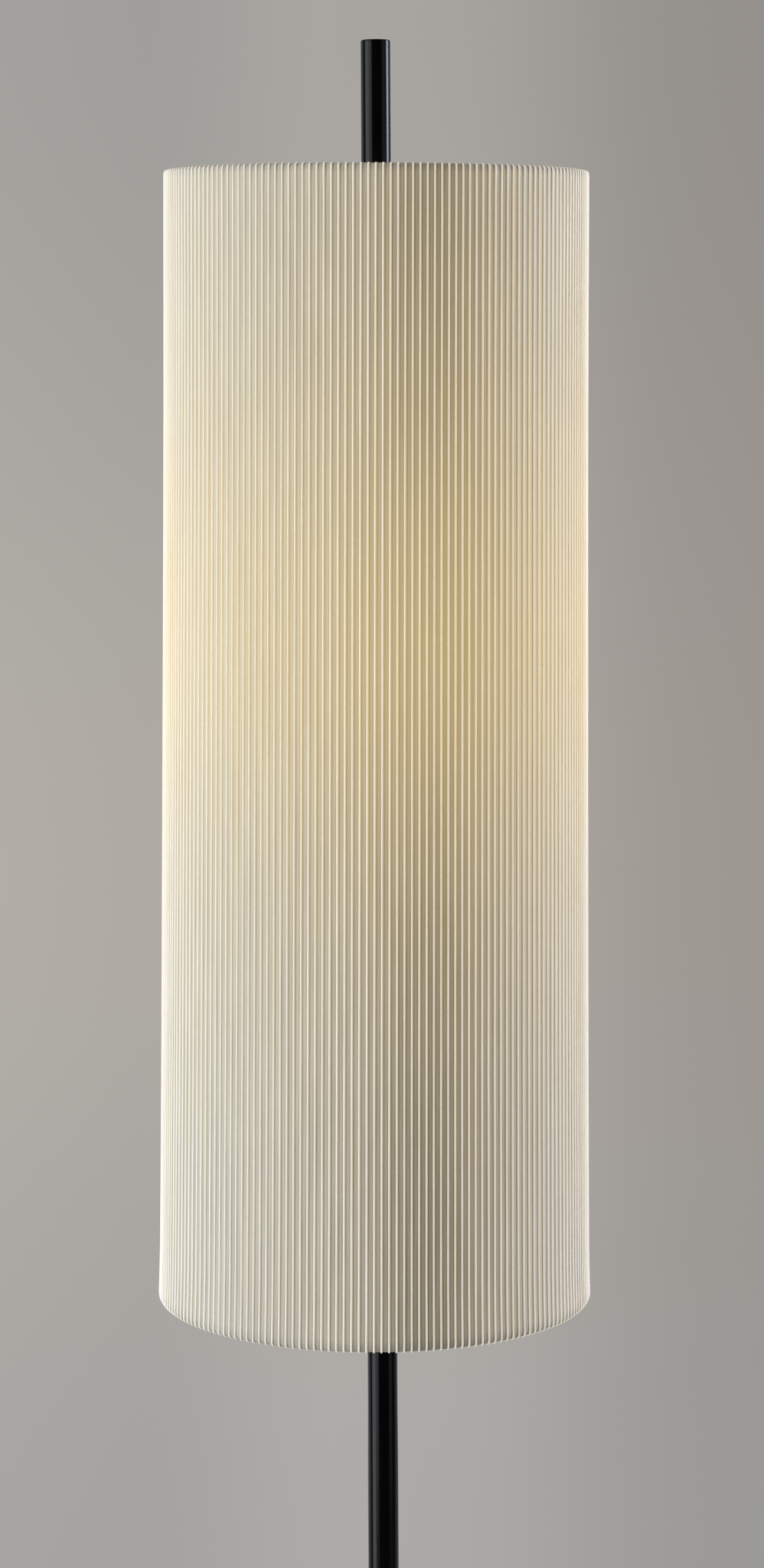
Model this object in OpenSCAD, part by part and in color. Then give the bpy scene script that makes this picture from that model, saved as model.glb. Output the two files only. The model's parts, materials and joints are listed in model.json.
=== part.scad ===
// Floor lamp with a tall shade of pleated paper on a slim round pole. Two lampholders stand
// on a bracket inside the shade, and a closed finial tube holds the shade down from above.
// Millimetres, +Z up, the front faces -Y. The origin is the base's centre, on the floor.

/* [Overall] */
// Height from the floor to the flat top of the finial
overall_h = 1575; // [1530:5:1640]

/* [Base] */
// Diameter of the base cover
base_d = 280; // [250:2:320]
// Height of the cover's flat top above the floor
base_h = 20; // [19.5:0.5:26]
// Sheet thickness of the cover
cover_wall = 1.2; // [1:0.1:2]
// Outer radius of the cover's rounded top edge
cover_edge_r = 6; // [4:0.5:6.5]
// Height of the cover's rim above the floor
cover_lift = 1; // [0.5:0.1:1.5]
// Thickness of the felt pad
felt_t = 2; // [1.6:0.1:2.4]
// Gap between the felt pad and the cover's inner wall
felt_gap = 1.5; // [0.5:0.5:4]
// Gap between the weight and the start of the cover's rounded edge
weight_gap = 1; // [0.5:0.5:6]
// Diameter of the nut's recess in the weight
recess_d = 44; // [36:1:60]
// Depth of the nut's recess
recess_h = 12; // [10:0.5:12.5]
// Diameter of the cord hole through the bushing
inlet_d = 7; // [5:0.5:7.5]
// Wall of the bushing's sleeve
inlet_wall = 1.5; // [1:0.25:1.75]
// Length of the bushing's sleeve
inlet_len = 12; // [9:0.5:16]
// Height of the bushing's sleeve above the felt pad
inlet_rise = 1; // [0.3:0.1:1.2]
// Gap between the bushing's sleeve and the weight's cord channel
channel_gap = 0.5; // [0.3:0.1:1]

/* [Pole] */
// Outer diameter of the pole and of the finial
pole_d = 19.05; // [17.5:0.05:22]
// Wall of the pole tubes
pole_wall = 1.2; // [0.8:0.1:1.5]
// Length of each of the two lower pole sections
section_len = 393; // [360:1:415]
// Length of the tapped plugs in the tube ends
plug_len = 18; // [16:1:24]
// How far a nipple screws into a plug
grip = 14; // [10:1:15]
// Diameter over the threads of every nipple
thread_d = 9.7; // [9:0.1:10]
// Bore of the hollow nipples
thread_bore = 7; // [5:0.5:7.5]

/* [Fixings] */
// Width across flats of the hex nuts
nut_flats = 14; // [13:0.5:16]
// Thickness of the hex nuts
nut_t = 4; // [3:0.5:4.5]
// Diameter of the washer under the base's nut
washer_d = 26; // [20:1:32]
// Thickness of the washers
washer_t = 1.2; // [1:0.1:2]

/* [Bracket] */
// Distance from the pole's axis to each lampholder's axis
holder_reach = 45; // [42:1:52]
// How far the bracket's front arm is turned to the right of straight ahead
bracket_turn = 27; // [0:1:45]
// Width of the bracket bar
bracket_w = 20; // [18:1:24]
// Thickness of the bracket bar
bracket_t = 3; // [2:0.5:5]

/* [Lampholder] */
// Outer diameter of the lampholder
holder_d = 33; // [32:0.5:38]
// Wall of the lampholder's cap and shell
holder_wall = 0.8; // [0.6:0.1:1]
// Height of the domed cap
holder_cap_h = 16; // [15:0.5:20]
// Height of the switch block
switch_h = 14; // [12:0.5:18]
// Height of the screw shell
screw_shell_h = 24; // [22:0.5:26]
// Diameter of the lampholder's rolled rim wire
rim_bead_d = 1.6; // [1.2:0.1:2]
// Diameter of the switch knob's shaft
knob_shaft_d = 4; // [3:0.5:5]
// Diameter of the switch knob
knob_d = 11; // [9:0.5:13]
// Length of the switch knob
knob_len = 13; // [10:0.5:18]
// Number of flutes round the switch knob
knob_flutes = 10; // [8:1:14]

/* [Bulb] */
// Largest diameter of the bulb
bulb_d = 60; // [55:1:65]
// Length of the bulb from its tip contact to its crown
bulb_len = 110; // [106:1:116]
// Wall of the glass envelope
glass_t = 0.8; // [0.6:0.1:1.2]
// Crest diameter of the screw cap
cap_d = 26.2; // [26:0.1:26.4]
// Pitch of the screw cap's thread
cap_pitch = 3.63; // [3.5:0.01:3.7]
// Height of the bulb's widest point below the shade's top rim
light_drop = 288.5; // [260:0.5:330]

/* [Leads] */
// Diameter of the lampholder leads
lead_d = 3.2; // [2.4:0.1:3.4]
// Bend radius of the leads below the bracket
lead_bend = 20; // [14:1:26]
// Length of the crimp caps on the leads' ends
splice_len = 14; // [12:1:20]

/* [Shade] */
// Diameter of the shade over its pleats
shade_d = 266.8; // [240:0.2:280]
// Height of the shade
shade_h = 703; // [640:1:720]
// Number of pleats round the shade
pleats = 188; // [150:1:210]
// Height of a pleat's ridge above the valleys
pleat_h = 0.9; // [0.5:0.1:2.5]
// Share of the pitch that a ridge takes at its foot
ridge_foot = 0.34; // [0.3:0.01:0.5]
// Share of the pitch that a ridge takes at its crest
ridge_crest = 0.14; // [0.1:0.01:0.25]
// Thickness of the paper in the valleys
paper_t = 0.4; // [0.3:0.05:0.6]
// Thickness of the liner
liner_t = 0.5; // [0.3:0.05:1]
// Wire diameter of the shade's rings
ring_wire = 3; // [2.5:0.1:4]
// Distance of the rings' wire from the shade's edges
ring_inset = 1.5; // [0.5:0.1:4]
// Wire diameter of the spider's arms
arm_wire = 3; // [2.5:0.1:4]
// Number of spider arms
arms = 3; // [3:1:4]
// Diameter of the spider's hub
hub_d = 30; // [28:1:40]
// Thickness of the spider's hub
hub_t = 2; // [1.5:0.1:3]
// Height of the shade's top rim above the hub's top face
hub_drop = 12.7; // [8:0.1:25]
// Degrees that the shade hangs out of plumb, with its hem towards -X
shade_lean = 0.4; // [0:0.05:1]

/* [Finial] */
// Height of the finial above the shade's top rim
finial_show = 83.5; // [60:0.5:110]
// How far the stud screws into the finial
stud_grip = 7.4; // [6:0.1:9]
// Thickness of the finial's closed top
finial_top_t = 2; // [1.8:0.1:3]
// Radius of the finial's top edge
finial_edge_r = 0.9; // [0.3:0.1:0.9]

/* [Hidden] */
$fn = 96;

// Clearances
press_gap = 0.05;    // between pieces that are fixed to each other
run_gap = 0.05;      // round a pin or a thread that turns
slip_gap = 0.35;     // round what has to pass freely
seat_gap = 0.05;     // under a piece that rests on another and comes off
plug_inset = 0.2;    // between a plug's face and the end of its tube

// Base
base_r = base_d / 2;
cover_inner_r = base_r - cover_wall;
weight_r = base_r - cover_edge_r - weight_gap;
weight_top = base_h - cover_wall;
recess_top = felt_t + recess_h;
inlet_r = inlet_d / 2 + inlet_wall;
inlet_z = felt_t + inlet_rise + inlet_r;
channel_w = 2 * (inlet_r + channel_gap);
inlet_flange_r = inlet_r + inlet_rise - 0.1;
inlet_flange_t = 2;
inlet_end = base_r - 0.2;
flange_end = sqrt(pow(cover_inner_r, 2) - pow(inlet_flange_r, 2)) - press_gap;

// Threads
thread_r = thread_d / 2;
tapped_r = thread_r + press_gap;
passing_r = thread_r + slip_gap;
thread_show = 1;
nut_r = nut_flats / 2 / cos(30);

// Pole and shade heights
pole_r = pole_d / 2;
pole_inner_r = pole_r - pole_wall;
shade_top = overall_h - finial_show;
shade_bottom = shade_top - shade_h;
hub_top = shade_top - hub_drop;
hub_bottom = hub_top - hub_t;
finial_bottom = hub_top + washer_t;
light_z = shade_top - light_drop;

// Lampholder, in heights above the bracket
block_bottom = holder_cap_h;
block_top = block_bottom + switch_h;
holder_r = holder_d / 2;
holder_inner_r = holder_r - holder_wall;
shell_top = block_top + screw_shell_h + 3;
knob_z = block_bottom + switch_h / 2;
contact_t = 1.2;
contact_top = block_top + contact_t;
cap_neck_h = 9;
cap_neck_r = tapped_r + 2.2;
dome_start = 3;

// Bulb, in heights above its tip
bulb_r = bulb_d / 2;
bulb_mid = bulb_len - bulb_r;
cap_top = 26;
thread_top = 20;
foot_top = 5;
tip_h = 1.2;
neck_r = cap_d / 2 - 1.1;
neck_bottom = cap_top - 5;
thread_depth = 0.45;
cap_wall = 0.3;
bulb_seat = contact_top + seat_gap;

// The bracket's height puts the bulbs at the height of the light
bracket_top = light_z - bulb_mid - bulb_seat;
bracket_bottom = bracket_top - bracket_t;
joint_1 = base_h + section_len;
joint_2 = joint_1 + section_len;

// Leads
lead_r = lead_d / 2;
splice_r = lead_r + 1;
splice_x = splice_r + 0.4;
splice_top = bracket_bottom - nut_t - thread_show - lead_bend - 14;
bend_top = bracket_bottom - nut_t - thread_show - 3;
lead_level = bend_top - lead_bend;
lead_turn = pole_inner_r - splice_x;
grommet_r = lead_r + 1.2;
grommet_flange_r = grommet_r + 1.2;

// Shade
liner_r = shade_d / 2 - pleat_h - paper_t - press_gap;
liner_inner_r = liner_r - liner_t;
ring_r = liner_inner_r - press_gap - ring_wire / 2;
ring_high = shade_top - ring_inset - ring_wire / 2;
ring_low = shade_bottom + ring_inset + ring_wire / 2;
hub_mid = hub_bottom + hub_t / 2;
arm_start = pole_r + 2;
arm_end = ring_r - ring_wire / 2 - press_gap;

FRONT = 0;
REAR = 180;

// ---- Shapes used more than once ----

// A straight tube from height z0 to z1
module tube(outer_r, inner_r, z0, z1) {
    translate([0, 0, z0]) difference() {
        cylinder(r = outer_r, h = z1 - z0);
        translate([0, 0, -1]) cylinder(r = inner_r, h = z1 - z0 + 2);
    }
}

// Half the section of a disc with a rounded top edge
module rounded_half(r, h, edge) {
    square([r - edge, h]);
    square([r, h - edge]);
    translate([r - edge, h - edge]) circle(r = edge);
}

// A hollow nipple, as thick as its threads
module nipple(z0, z1) {
    tube(thread_r, thread_bore / 2, z0, z1);
}

module hex_nut(z0) {
    translate([0, 0, z0]) difference() {
        cylinder(r = nut_r, h = nut_t, $fn = 6);
        translate([0, 0, -1]) cylinder(r = tapped_r, h = nut_t + 2);
    }
}

// A tapped plug, set a little back from the end of its tube
module plug_above(end) {
    tube(pole_inner_r - press_gap, tapped_r, end + plug_inset, end + plug_inset + plug_len);
}

module plug_below(end) {
    plug_above(end - plug_len - 2 * plug_inset);
}

// Moves its children to a lampholder's axis, with z = 0 on the bracket
module at_holder(side) {
    rotate([0, 0, bracket_turn - 90 + side])
        translate([holder_reach, 0, bracket_top]) children();
}

// Moves its children to a seated bulb, with z = 0 at its tip
module at_bulb(side) {
    at_holder(side) translate([0, 0, bulb_seat]) children();
}

// Hangs its children out of plumb about the middle of the hub
module hung() {
    translate([0, 0, hub_mid]) rotate([0, shade_lean, 0])
        translate([0, 0, -hub_mid]) children();
}

// ---- Base ----

module felt_pad() {
    color("#2a2a2a") cylinder(r = cover_inner_r - felt_gap, h = felt_t);
}

module base_weight() {
    color("#55565a") difference() {
        translate([0, 0, felt_t]) cylinder(r = weight_r, h = weight_top - felt_t);
        translate([0, 0, felt_t - 1]) cylinder(d = recess_d, h = recess_h + 1);
        cylinder(r = passing_r, h = base_h);
        translate([-channel_w / 2, 0, felt_t - 1])
            cube([channel_w, base_r, inlet_z + channel_w / 2 - felt_t + 1]);
    }
}

module base_cover() {
    color("#1b1b1c") difference() {
        rotate_extrude() difference() {
            rounded_half(base_r, base_h, cover_edge_r);
            translate([0, -cover_wall])
                rounded_half(cover_inner_r, base_h, cover_edge_r - cover_wall);
            translate([0, -1]) square([base_r + 1, cover_lift + 1]);
        }
        cylinder(r = passing_r, h = base_h + 1);
        translate([0, base_r - cover_edge_r - 4, inlet_z]) rotate([-90, 0, 0])
            cylinder(r = inlet_r + press_gap, h = cover_edge_r + 6);
    }
}

// Sits in the cover's rear wall, with its flange behind the sheet
module cord_bushing() {
    color("#202020") translate([0, 0, inlet_z]) rotate([-90, 0, 0]) {
        tube(inlet_r, inlet_d / 2, inlet_end - inlet_len, inlet_end);
        tube(inlet_flange_r, inlet_r - 0.5, flange_end - inlet_flange_t, flange_end);
    }
}

module base_nipple() {
    color("#b9b08f") nipple(recess_top - washer_t - nut_t - thread_show, base_h + grip);
}

module base_washer() {
    color("#a9abae") tube(washer_d / 2, passing_r, recess_top - washer_t, recess_top);
}

module base_nut() {
    color("#a9abae") hex_nut(recess_top - washer_t - nut_t);
}

// ---- Pole ----

module pole_lower() {
    color("#1b1b1c") tube(pole_r, pole_inner_r, base_h, joint_1);
}

module pole_middle() {
    color("#1b1b1c") tube(pole_r, pole_inner_r, joint_1, joint_2);
}

module pole_riser() {
    color("#1b1b1c") difference() {
        tube(pole_r, pole_inner_r, joint_2, bracket_bottom);
        rotate([0, 0, bracket_turn]) translate([0, 0, lead_level]) rotate([90, 0, 0])
            cylinder(r = grommet_r + press_gap, h = pole_d + 2, center = true);
    }
}

module pole_upper() {
    color("#1b1b1c") tube(pole_r, pole_inner_r, bracket_top, hub_bottom);
}

module pole_plugs() {
    color("#8d8f92") {
        for (end = [base_h, joint_1, joint_2, bracket_top]) plug_above(end);
        for (end = [joint_1, joint_2, bracket_bottom, hub_bottom]) plug_below(end);
    }
}

module joint_nipples() {
    color("#b9b08f") for (joint = [joint_1, joint_2]) nipple(joint - grip, joint + grip);
}

module bracket_nipple() {
    color("#b9b08f") nipple(bracket_bottom - grip, bracket_top + grip);
}

module finial_stud() {
    color("#b9b08f") nipple(hub_bottom - grip, finial_bottom + stud_grip);
}

// ---- Bracket and leads ----

module bulb_bracket() {
    color("#1b1b1c") rotate([0, 0, bracket_turn - 90]) translate([0, 0, bracket_bottom])
        difference() {
            union() {
                translate([-holder_reach, -bracket_w / 2, 0])
                    cube([2 * holder_reach, bracket_w, bracket_t]);
                for (x = [-holder_reach, holder_reach])
                    translate([x, 0, 0]) cylinder(d = bracket_w, h = bracket_t);
            }
            for (x = [-holder_reach, 0, holder_reach])
                translate([x, 0, -1]) cylinder(r = passing_r, h = bracket_t + 2);
        }
}

// A quarter of a ring of wire in the XZ plane, from the angle start to start + 90
module bend(x, z, radius, start) {
    translate([x, 0, z]) rotate([90, 0, 0]) rotate([0, 0, start])
        rotate_extrude(angle = 90) translate([radius, 0]) circle(r = lead_r);
}

// Each lead drops out of its lampholder, turns to the pole, and turns down inside it
module lampholder_leads() {
    color("#e8e4da") for (side = [FRONT, REAR]) rotate([0, 0, bracket_turn - 90 + side]) {
        translate([holder_reach, 0, bend_top])
            cylinder(r = lead_r, h = bracket_top + block_bottom - bend_top);
        bend(holder_reach - lead_bend, bend_top, lead_bend, -90);
        translate([pole_inner_r, 0, lead_level]) rotate([0, 90, 0])
            cylinder(r = lead_r, h = holder_reach - lead_bend - pole_inner_r);
        bend(pole_inner_r, lead_level - lead_turn, lead_turn, 90);
        translate([splice_x, 0, splice_top])
            cylinder(r = lead_r, h = lead_level - lead_turn - splice_top);
    }
}

module lead_splices() {
    color("#d9d2bd") for (side = [FRONT, REAR]) rotate([0, 0, bracket_turn - 90 + side])
        translate([splice_x, 0, splice_top - splice_len]) cylinder(r = splice_r, h = splice_len);
}

// A sleeve through the pole's wall, with a flange that hugs the tube
module wire_grommets() {
    height = 2 * grommet_flange_r + 2;
    color("#202020") for (side = [FRONT, REAR]) rotate([0, 0, bracket_turn - 90 + side])
        translate([0, 0, lead_level]) difference() {
            union() {
                difference() {
                    rotate([0, 90, 0]) cylinder(r = grommet_flange_r, h = pole_r + 1);
                    cylinder(r = pole_r + press_gap, h = height, center = true);
                }
                translate([pole_inner_r - 0.5, 0, 0]) rotate([0, 90, 0])
                    cylinder(r = grommet_r, h = pole_wall + 1);
            }
            rotate([0, 90, 0]) cylinder(r = lead_r + press_gap, h = pole_d);
        }
}

// ---- Lampholders ----

module holder_nipples() {
    color("#b9b08f") for (side = [FRONT, REAR])
        at_holder(side) nipple(-bracket_t - nut_t - thread_show, cap_neck_h);
}

module holder_nuts() {
    color("#a9abae") for (side = [FRONT, REAR]) at_holder(side) hex_nut(-bracket_t - nut_t);
}

// Half the section of a dome that rises from a flat foot to the lampholder's side
module dome_half(outer_r, foot_r, z0, z1) {
    square([foot_r, z0]);
    polygon(concat(
        [[0, z0]],
        [for (a = [0:9:90]) [foot_r + (outer_r - foot_r) * sin(a), z0 + (z1 - z0) * (1 - cos(a))]],
        [[outer_r, holder_cap_h + 1], [0, holder_cap_h + 1]]));
}

module holder_cap(side) {
    foot_r = cap_neck_r + 1.2;
    dome_top = holder_cap_h - 4;
    color("#1d1c1b") at_holder(side) rotate_extrude() difference() {
        union() {
            difference() {
                dome_half(holder_r, foot_r, dome_start, dome_top);
                translate([0, holder_wall])
                    dome_half(holder_inner_r, foot_r - holder_wall, dome_start, dome_top);
            }
            square([cap_neck_r, cap_neck_h]);
        }
        translate([0, -1]) square([tapped_r, holder_cap_h + 3]);
        translate([0, holder_cap_h]) square([holder_r + 1, 3]);
    }
}

module holder_shell(side) {
    color("#1d1c1b") at_holder(side) difference() {
        union() {
            tube(holder_r, holder_inner_r, block_bottom, shell_top);
            translate([0, 0, shell_top]) rotate_extrude()
                translate([holder_r - holder_wall / 2, 0]) circle(d = rim_bead_d, $fn = 32);
        }
        translate([0, 0, knob_z]) rotate([-90, 0, 0])
            cylinder(d = knob_shaft_d + 2 * slip_gap, h = holder_r + 2);
    }
}

module switch_block(side) {
    block_r = holder_inner_r - press_gap;
    color("#33291f") at_holder(side) difference() {
        translate([0, 0, block_bottom]) cylinder(r = block_r, h = switch_h);
        translate([0, block_r / 3, knob_z]) rotate([-90, 0, 0])
            cylinder(d = knob_shaft_d + 2 * run_gap, h = block_r);
    }
}

// Radius of a rolled thread at height z, about its mean radius
function thread_wave(mean_r, z) = mean_r + thread_depth * cos(360 * z / cap_pitch);

// Half the section of a rolled sheet thread from z0 to z1
module thread_half(mean_r, wall, z0, z1) {
    step = cap_pitch / 8;
    heights = [for (z = [z0:step:z1 - step / 2]) z];
    polygon(concat(
        [for (z = heights) [thread_wave(mean_r, z), z]],
        [[thread_wave(mean_r, z1), z1], [thread_wave(mean_r, z1) + wall, z1]],
        [for (i = [len(heights) - 1:-1:0]) [thread_wave(mean_r, heights[i]) + wall, heights[i]]]));
}

// Inner radius of the screw shell's crests, clear of the bulb's cap
screw_inner_r = cap_d / 2 + slip_gap;

module screw_shell(side) {
    color("#c9a24b") at_holder(side) rotate_extrude()
        thread_half(screw_inner_r + thread_depth, cap_wall, block_top, block_top + screw_shell_h);
}

module insulating_sleeve(side) {
    color("#c8b691") at_holder(side)
        tube(holder_inner_r - press_gap, screw_inner_r + 2 * thread_depth + cap_wall + press_gap,
             block_top, block_top + screw_shell_h + 1);
}

module contact(side) {
    color("#c9a24b") at_holder(side) translate([0, 0, block_top]) cylinder(r = 4.5, h = contact_t);
}

// A fluted knob on a round shaft that runs into the switch block
module switch_knob(side) {
    knob_start = holder_r + 2.5;
    shaft_start = (holder_inner_r - press_gap) / 3 + 0.5;
    color("#1d1c1b") at_holder(side) translate([0, 0, knob_z]) rotate([-90, 0, 0]) {
        translate([0, 0, shaft_start])
            cylinder(d = knob_shaft_d, h = knob_start + 2 - shaft_start);
        translate([0, 0, knob_start]) difference() {
            rotate_extrude() rounded_half(knob_d / 2, knob_len, 1);
            for (i = [0:knob_flutes - 1]) rotate([0, 0, i * 360 / knob_flutes])
                translate([knob_d / 2 + 0.2, 0, 2]) cylinder(r = 0.9, h = knob_len, $fn = 24);
        }
    }
}

// ---- Bulbs ----

// A point on a cubic curve with the given end points and handles
function curve(t, a, b, c, d) =
    pow(1 - t, 3) * a + 3 * t * pow(1 - t, 2) * b + 3 * t * t * (1 - t) * c + pow(t, 3) * d;

// Half the outline of the glass: a round crown, then a waist down to the neck
function glass_outline(inset) =
    let (r = bulb_r - inset, n = neck_r - inset,
         from = [r * cos(30), bulb_mid - r / 2],
         to = [n, cap_top + 3])
    concat(
        [[0, neck_bottom - inset], [0, bulb_mid + r]],
        [for (a = [80:-10:-20]) [r * cos(a), bulb_mid + r * sin(a)]],
        [for (t = [0:0.125:1]) curve(t, from, from - [7, 12], to + [0, 14], to)],
        [[n, neck_bottom - inset]]);

module bulb_glass(side) {
    color("#f4efe2") at_bulb(side) rotate_extrude() difference() {
        polygon(glass_outline(0));
        polygon(glass_outline(glass_t));
    }
}

module bulb_cap(side) {
    collar_r = neck_r + press_gap;
    collar_start = thread_top - 0.4;
    color("#c3c4c6") at_bulb(side) {
        rotate_extrude()
            thread_half(cap_d / 2 - thread_depth - cap_wall, cap_wall, foot_top, thread_top);
        tube(cap_d / 2, collar_r, collar_start, cap_top);
    }
}

module bulb_foot(side) {
    foot_r = cap_d / 2 - 2 * thread_depth - cap_wall - press_gap;
    color("#151515") at_bulb(side) {
        translate([0, 0, tip_h]) cylinder(r1 = 5, r2 = foot_r, h = foot_top - tip_h);
        translate([0, 0, foot_top]) cylinder(r = foot_r, h = 2);
    }
}

module bulb_tip(side) {
    color("#b5b6b8") at_bulb(side) cylinder(r1 = 3.6, r2 = 4.6, h = tip_h);
}

// ---- Shade ----

// The pleats' outline: narrow ridges that stand on a round of valleys
function pleat_outline() =
    let (crest = shade_d / 2, valley = crest - pleat_h, pitch = 360 / pleats)
    [for (i = [0:pleats - 1], corner = [[-ridge_foot, valley], [-ridge_crest, crest],
                                        [ridge_crest, crest], [ridge_foot, valley]])
        let (a = pitch * (i + corner[0] / 2)) corner[1] * [cos(a), sin(a)]];

// The paper's back: one flat behind each valley, clear of the liner
function paper_back() =
    let (r = (liner_r + press_gap) / cos(180 / pleats))
    [for (i = [0:pleats - 1]) r * [cos(360 * i / pleats), sin(360 * i / pleats)]];

module shade_pleats() {
    color("#f1e9d6") hung() translate([0, 0, shade_bottom])
        linear_extrude(height = shade_h) difference() {
            polygon(pleat_outline());
            polygon(paper_back());
        }
}

module shade_liner() {
    color("#f6f1e4") hung() tube(liner_r, liner_inner_r, shade_bottom, shade_top);
}

module wire_ring(z) {
    hung() translate([0, 0, z]) rotate_extrude() translate([ring_r, 0]) circle(d = ring_wire);
}

module top_ring() {
    color("#e9e7e1") wire_ring(ring_high);
}

module bottom_ring() {
    color("#e9e7e1") wire_ring(ring_low);
}

// The hub lies level on the pole, and its arms rise to the top ring
module spider() {
    rise = ring_high - hub_mid;
    run = arm_end - arm_start;
    color("#e9e7e1") {
        tube(hub_d / 2, passing_r, hub_bottom, hub_top);
        hung() for (i = [0:arms - 1]) rotate([0, 0, 60 + i * 360 / arms])
            translate([arm_start, 0, hub_mid]) rotate([0, 90 - atan2(rise, run), 0])
                cylinder(d = arm_wire, h = norm([rise, run]));
    }
}

// ---- Finial ----

module finial_washer() {
    color("#1b1b1c") tube(pole_r - 0.5, passing_r, hub_top, finial_bottom);
}

module finial_plug() {
    color("#8d8f92") tube(pole_inner_r - press_gap, thread_r + run_gap,
                          finial_bottom + plug_inset, finial_bottom + plug_inset + plug_len);
}

module finial_tube() {
    color("#1b1b1c") tube(pole_r, pole_inner_r, finial_bottom, overall_h - finial_top_t);
}

module finial_cap() {
    spigot = 6;
    color("#1b1b1c") {
        translate([0, 0, overall_h - finial_top_t])
            rotate_extrude() rounded_half(pole_r, finial_top_t, finial_edge_r);
        translate([0, 0, overall_h - finial_top_t - spigot])
            cylinder(r = pole_inner_r - press_gap, h = spigot + finial_top_t / 2);
    }
}

felt_pad();
base_weight();
base_cover();
cord_bushing();
base_nipple();
base_washer();
base_nut();
pole_lower();
pole_middle();
pole_riser();
pole_upper();
pole_plugs();
joint_nipples();
bracket_nipple();
finial_stud();
bulb_bracket();
lampholder_leads();
lead_splices();
wire_grommets();
holder_nipples();
holder_nuts();
holder_cap(FRONT);  // front_holder_cap
holder_shell(FRONT);  // front_holder_shell
switch_block(FRONT);  // front_switch_block
screw_shell(FRONT);  // front_screw_shell
insulating_sleeve(FRONT);  // front_insulating_sleeve
contact(FRONT);  // front_contact
switch_knob(FRONT);  // front_switch_knob
holder_cap(REAR);  // rear_holder_cap
holder_shell(REAR);  // rear_holder_shell
switch_block(REAR);  // rear_switch_block
screw_shell(REAR);  // rear_screw_shell
insulating_sleeve(REAR);  // rear_insulating_sleeve
contact(REAR);  // rear_contact
switch_knob(REAR);  // rear_switch_knob
bulb_glass(FRONT);  // front_bulb_glass
bulb_cap(FRONT);  // front_bulb_cap
bulb_foot(FRONT);  // front_bulb_foot
bulb_tip(FRONT);  // front_bulb_tip
bulb_glass(REAR);  // rear_bulb_glass
bulb_cap(REAR);  // rear_bulb_cap
bulb_foot(REAR);  // rear_bulb_foot
bulb_tip(REAR);  // rear_bulb_tip
shade_pleats();
shade_liner();
top_ring();
bottom_ring();
spider();
finial_washer();
finial_plug();
finial_tube();
finial_cap();
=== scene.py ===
import json
import math

import bmesh
import bpy
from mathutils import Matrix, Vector


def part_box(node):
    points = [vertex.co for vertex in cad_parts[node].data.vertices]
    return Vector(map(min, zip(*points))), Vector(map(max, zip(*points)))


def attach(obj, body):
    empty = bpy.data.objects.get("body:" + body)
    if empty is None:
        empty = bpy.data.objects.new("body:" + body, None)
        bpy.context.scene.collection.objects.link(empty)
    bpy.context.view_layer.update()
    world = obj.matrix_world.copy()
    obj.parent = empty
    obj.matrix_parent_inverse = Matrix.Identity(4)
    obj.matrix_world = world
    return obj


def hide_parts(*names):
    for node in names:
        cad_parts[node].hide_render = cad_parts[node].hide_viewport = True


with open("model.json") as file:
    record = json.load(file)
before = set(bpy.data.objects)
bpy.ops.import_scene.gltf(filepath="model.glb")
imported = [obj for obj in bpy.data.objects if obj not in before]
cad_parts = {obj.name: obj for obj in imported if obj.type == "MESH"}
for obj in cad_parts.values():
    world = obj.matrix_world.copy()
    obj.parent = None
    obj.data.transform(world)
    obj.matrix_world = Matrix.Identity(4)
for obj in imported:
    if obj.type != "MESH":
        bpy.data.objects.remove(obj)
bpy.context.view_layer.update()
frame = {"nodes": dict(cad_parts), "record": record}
NODES = frame["nodes"]
MM = 0.001
INCH_IN_MM = 25.4

# ---- Camera ----

LAMP_DISTANCE = 2.25
LAMP_LEFT_OF_LENS = 0.0032
LENS_HEIGHT = 1.3944
LENS_MM = 82.2
SENSOR_MM = 36
VIEW_BELOW_LENS = -0.2912
CAMERA_ROLL = math.radians(0.31)
FARTHEST_SEEN = 50


def place_camera():
    """The lens is level with the shade's upper half, and the picture is shifted down from it."""
    bpy.ops.object.camera_add(location=(LAMP_LEFT_OF_LENS, -LAMP_DISTANCE, LENS_HEIGHT),
                              rotation=(math.radians(90), CAMERA_ROLL, 0))
    camera = bpy.context.object
    camera.name = "camera"
    camera.data.lens = LENS_MM
    camera.data.sensor_width = SENSOR_MM
    camera.data.shift_y = VIEW_BELOW_LENS
    camera.data.clip_end = FARTHEST_SEEN
    bpy.context.scene.camera = camera


place_camera()

# ---- Tools for materials ----

# The sockets of the node that mixes two colours
MIX_SHARE = 0
MIX_FIRST = 6
MIX_SECOND = 7
MIX_RESULT = 2

# The span of a noise that is spread over 0 to 1. The narrow one gives more contrast.
WIDE = (0.3, 0.7)
NARROW = (0.35, 0.65)


def set_input(tree, socket, value):
    """Feeds a socket from another one, or gives it a plain value."""
    if isinstance(value, bpy.types.NodeSocket):
        tree.links.new(value, socket)
    else:
        socket.default_value = value


def socket_name(word):
    """A socket's name, from the word that stands for it as an argument."""
    return word.replace("_", " ")


def add_node(tree, kind, inputs=None, **settings):
    """Adds a node. Inputs are plain values, or the sockets that feed them."""
    node = tree.nodes.new(kind)
    for name, value in settings.items():
        setattr(node, name, value)
    for key, value in (inputs or {}).items():
        set_input(tree, node.inputs[key], value)
    return node


def calculate(tree, operation, first, second=0.0):
    """What an operation makes of one or two numbers."""
    return add_node(tree, "ShaderNodeMath", {0: first, 1: second}, operation=operation).outputs[0]


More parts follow.
